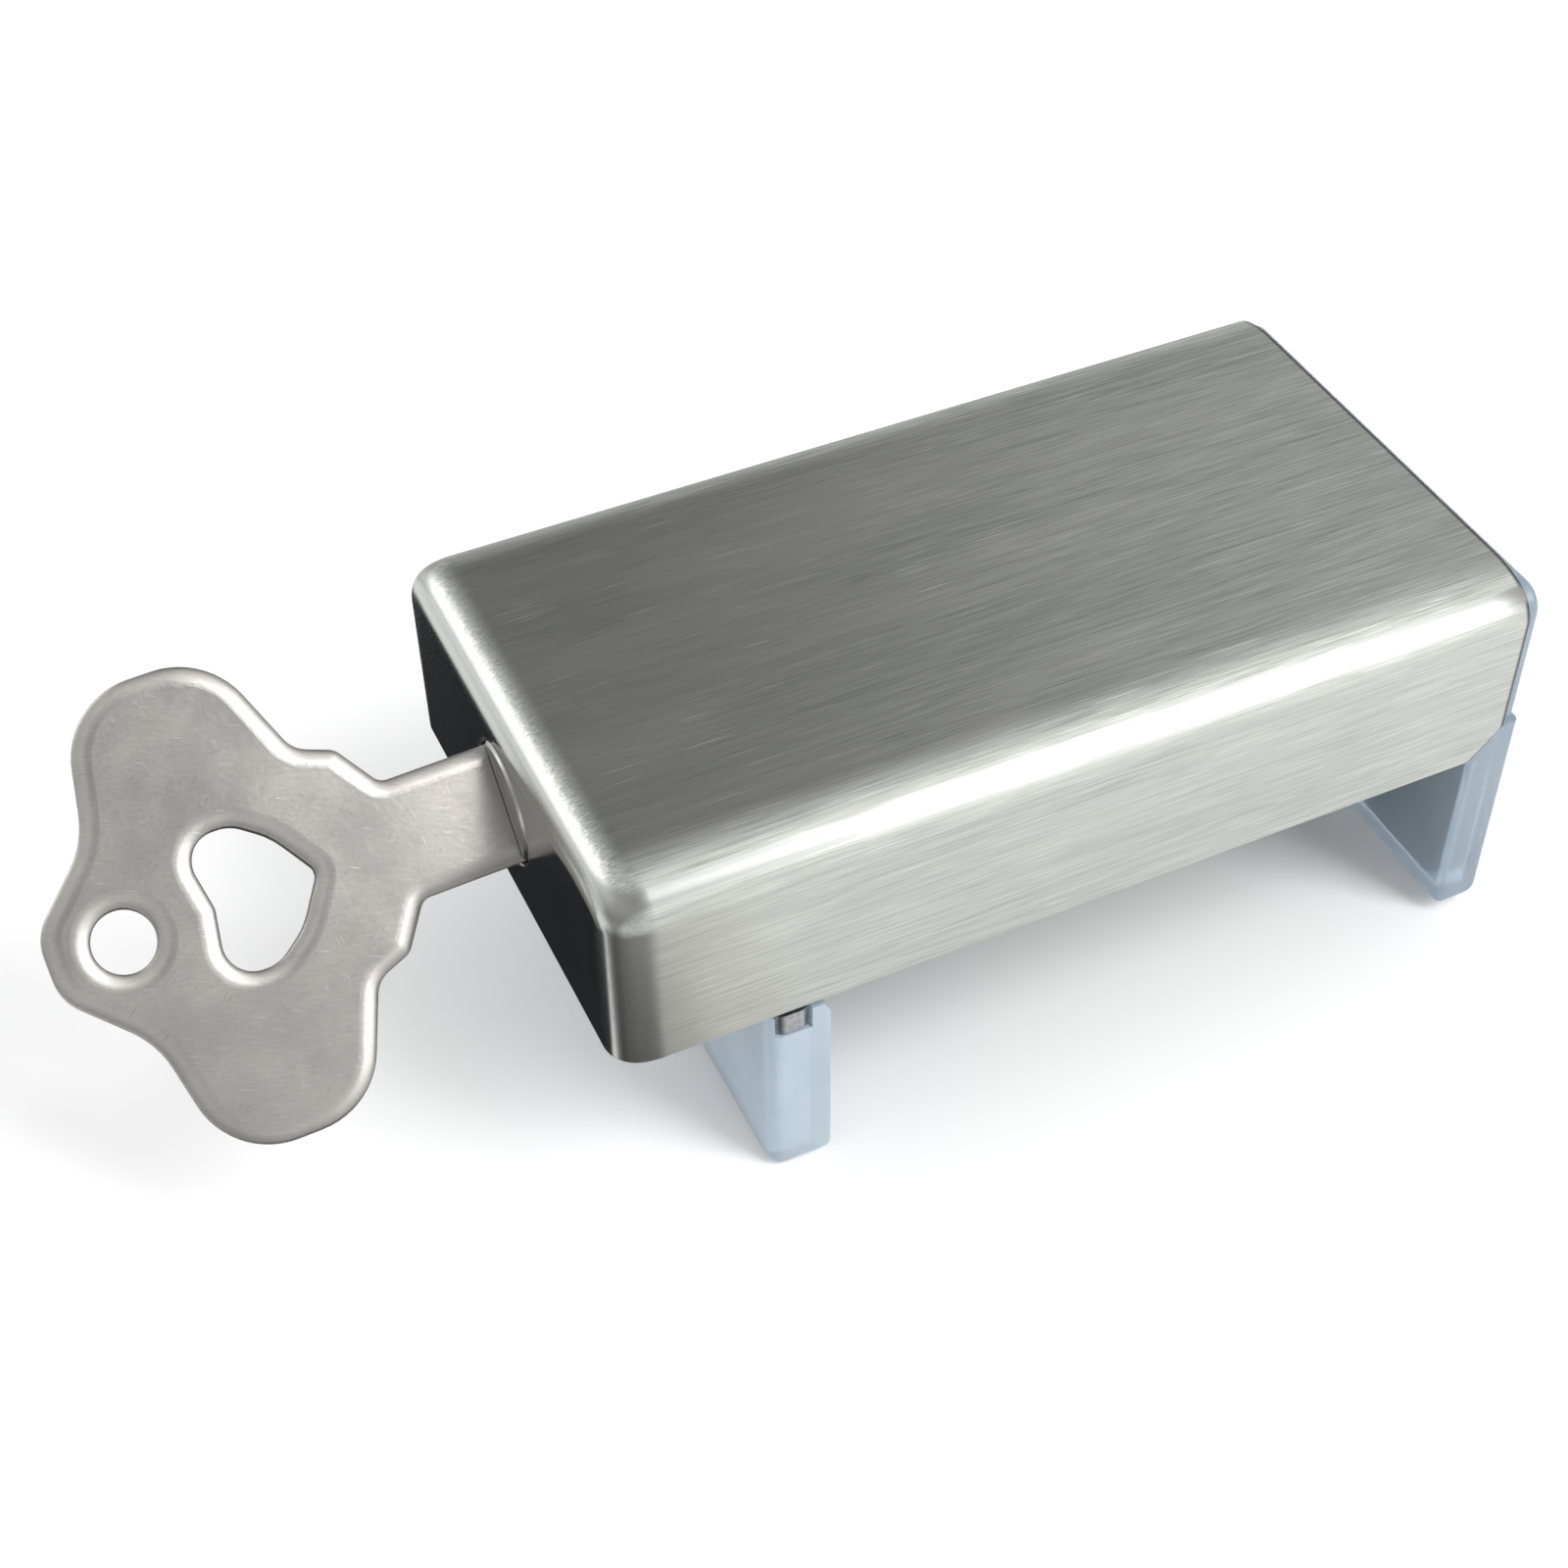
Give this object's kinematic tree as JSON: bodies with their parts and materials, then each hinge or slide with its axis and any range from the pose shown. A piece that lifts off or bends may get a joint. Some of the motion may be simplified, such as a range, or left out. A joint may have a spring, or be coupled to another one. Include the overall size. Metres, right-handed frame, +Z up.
{
  "type": "sliding window lock",
  "caption": "Clamp-on sliding window lock: brushed steel housing over a lead screw, a moving and a fixed jaw in plastic sleeves, and a removable stamped key.",
  "frame": {"origin": "centre of the fixed jaw's clamping face, on the sleeve that presses on the rail", "axes": "+X along the screw, out of the housing's far end and away from the key; +Y across the housing; +Z up, from the jaws to the roof"},
  "size_m": [0.0795, 0.03, 0.0273],
  "materials": {
    "housing_steel": "brushed along its length",
    "key_steel": "stamped and tumbled",
    "jaw_steel": "cold-rolled sheet",
    "screw_steel": "turned",
    "nut_steel": "zinc plated",
    "bush_brass": "sintered",
    "sleeve_plastic": "soft translucent moulding"
  },
  "bodies": {
    "housing_body": {"housing": "housing_steel", "fixed_jaw": "jaw_steel", "fixed_jaw_sleeve": "sleeve_plastic", "end_bush": "bush_brass", "thrust_washer": "nut_steel"},
    "screw_body": {"lead_screw": "screw_steel", "drive_plug": "screw_steel", "drive_pin": "screw_steel"},
    "jaw_body": {"moving_jaw": "jaw_steel", "jaw_nut": "nut_steel", "moving_jaw_sleeve": "sleeve_plastic"},
    "key_body": {"key": "key_steel"}
  },
  "joints": [
    {"name": "screw_turn", "type": "hinge", "parent": "housing_body", "child": "screw_body", "pos_m": [0, 0, 0.01205], "axis": [1, 0, 0], "range_deg": [-14940, 0]},
    {"name": "jaw_slide", "type": "slide", "parent": "housing_body", "child": "jaw_body", "axis": [1, 0, 0], "range_m": [0, 0.03325]},
    {"name": "key_slide", "type": "slide", "parent": "screw_body", "child": "key_body", "axis": [-0.9995, -0.0232, -0.0212], "range_m": [0, 0.008]}
  ],
  "couplings": [
    {"joint": "jaw_slide", "follows": "screw_turn", "m_per_rad": -0.00012732}
  ]
}
